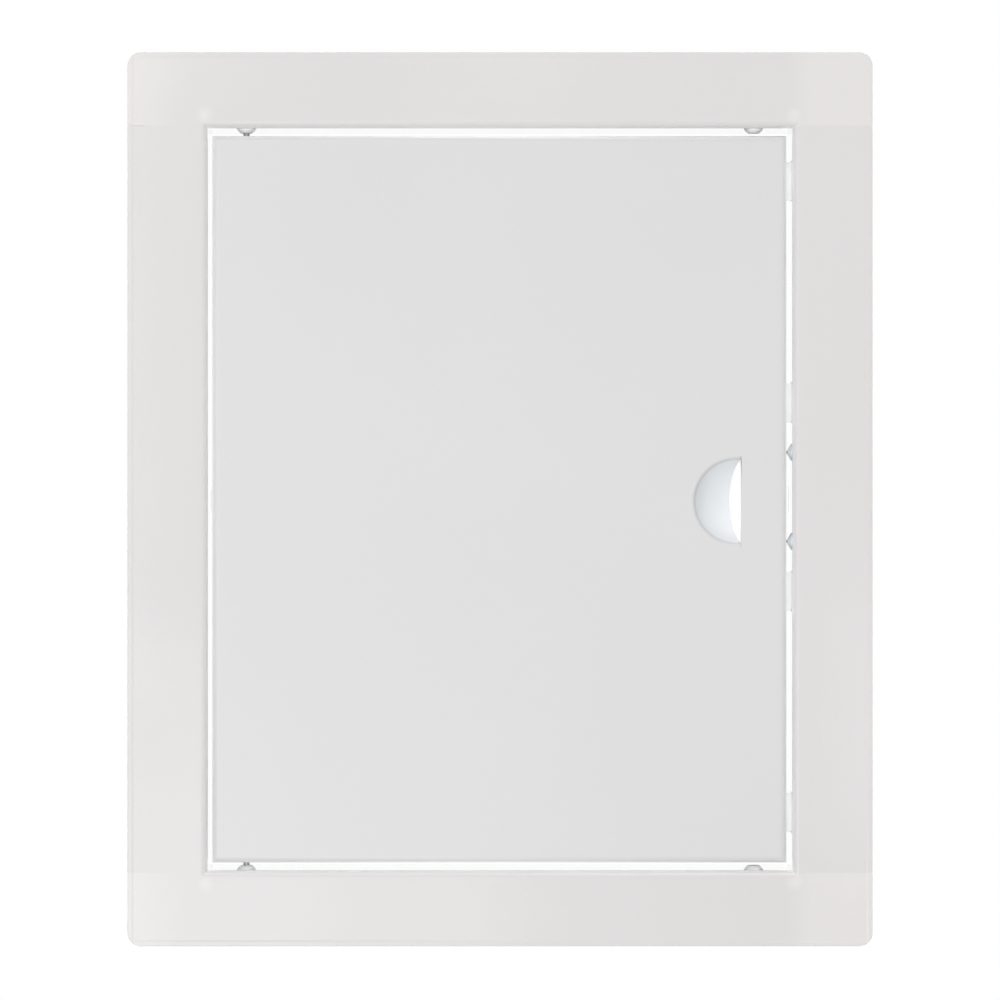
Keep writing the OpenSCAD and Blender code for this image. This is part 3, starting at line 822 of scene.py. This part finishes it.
# %% A node group for weld marks
LENS_SIDES, LENS_RINGS = 32, 16
weld_tree, mark, weld_inputs = new_tree("weld_marks", {
    "Radius": FLOAT, "Height": FLOAT, "Finish": FINISH,
})
marker = Link(weld_tree)
facing = marker.node("GeometryNodeInputNamedAttribute", "Attribute", {"data_type": "FLOAT_VECTOR"}, {
    "Name": "facing",
})
lean = marker.node("FunctionNodeAlignRotationToVector", "Rotation", {"axis": "Z"}, {"Vector": facing})
ball = marker.node("GeometryNodeMeshUVSphere", "Mesh", {}, {
    "Segments": LENS_SIDES, "Rings": LENS_RINGS, "Radius": mark["Radius"],
})
ratio = mark["Height"] / mark["Radius"]
low_lens = marker.node("ShaderNodeCombineXYZ", "Vector", {}, {"X": 1.0, "Y": 1.0, "Z": ratio})
lens = marker.node("GeometryNodeTransform", "Geometry", {}, {"Geometry": ball, "Scale": low_lens})
smooth_lens = marker.node("GeometryNodeSetShadeSmooth", "Geometry", {}, {"Geometry": lens})
places = marker.node("GeometryNodeMeshToPoints", "Points", {}, {"Mesh": mark["Geometry"]})
marks = marker.node("GeometryNodeInstanceOnPoints", "Instances", {}, {
    "Points": places, "Instance": smooth_lens, "Rotation": lean,
})
close_tree(weld_tree, marks, mark["Finish"])


# %% Mark the welds
def weld(name, spots, size, finish):
    """Weld marks of one radius and height at (place, direction) pairs, fixed to the frame."""
    start = bpy.data.meshes.new(name + "_start")
    start.from_pydata([place for place, direction in spots], [], [])
    facing = start.attributes.new("facing", "FLOAT_VECTOR", "POINT")
    for i, (place, direction) in enumerate(spots):
        facing.data[i].vector = direction
    radius, height = size
    values = {"Radius": radius, "Height": height, "Finish": finish}
    piece = grow(name, weld_tree, weld_inputs, values, start)
    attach(piece, "frame")


TAB_WELD, EAR_WELD = (2.0 * MM, 0.10 * MM), (0.9 * MM, 0.06 * MM)
TAB_WELD_X = 95.0 * MM
TAB_FACE_Z = 126.2 * MM
TAB_DEPTHS = (12 * MM, 24 * MM)
EAR_FACE_X = 99.6 * MM
EAR_REACH = 6.6 * MM
tab_spots = [
    ((side * TAB_WELD_X, depth, end * TAB_FACE_Z), (0, 0, end))
    for side in SIGNS for end in SIGNS for depth in TAB_DEPTHS
]
cup_middles = [sum(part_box(f"catch_cup_{end}"), Vector()) / 2 for end in ("upper", "lower")]
ear_spots = [
    ((EAR_FACE_X, middle.y, middle.z + end * EAR_REACH), (1, 0, 0))
    for middle in cup_middles for end in SIGNS
]
weld("corner_tab_welds", tab_spots, TAB_WELD, frame_coat)
weld("cup_ear_welds", ear_spots, EAR_WELD, zinc_sheet)

# %% [markdown]
# ## A floor to land on
# The hatch is held by its wall, so nothing stands on the floor. A pale floor lies two metres below,
# under the lamps, so that it takes no light away from the lower edges. Where it is looked at, most of
# its tone is a plain glow, so that it stays as pale as the white studio behind it, shadow and all.

# %% Lay the floor
FLOOR_Z = -2.1
FLOOR_HALF = 3.5
FLOOR_PALE, FLOOR_PALER = (0.80, 0.80, 0.80, 1), (0.83, 0.83, 0.83, 1)
FLOOR_SHADE = (0.12, 0.12, 0.12, 1)
FLOOR_GLOW, NO_GLOW = (0.85, 0.85, 0.85, 1), (0, 0, 0, 1)
FLOOR_CLOUDS = 8.0
floor_shape = bmesh.new()
bmesh.ops.create_grid(floor_shape, x_segments=4, y_segments=4, size=FLOOR_HALF)
bmesh.ops.translate(floor_shape, verts=floor_shape.verts, vec=(0, 0, FLOOR_Z))
floor_mesh = bpy.data.meshes.new("floor")
floor_shape.to_mesh(floor_mesh)
floor_shape.free()
floor = bpy.data.objects.new("floor", floor_mesh)
bpy.context.collection.objects.link(floor)
floor_paint, floor_place = new_finish("floor_paint")
floor_tone = floor_place.noise(FLOOR_CLOUDS, 2.0).mix(FLOOR_PALE, FLOOR_PALER)
looked_at = seen_directly(floor_paint.node_tree)
floor_mesh.materials.append(close_finish(floor_paint, {
    "Base Color": looked_at.mix(floor_tone, FLOOR_SHADE), "Roughness": 0.8,
    "Emission Color": looked_at.mix(NO_GLOW, FLOOR_GLOW), "Emission Strength": 1.0,
}))

# %% [markdown]
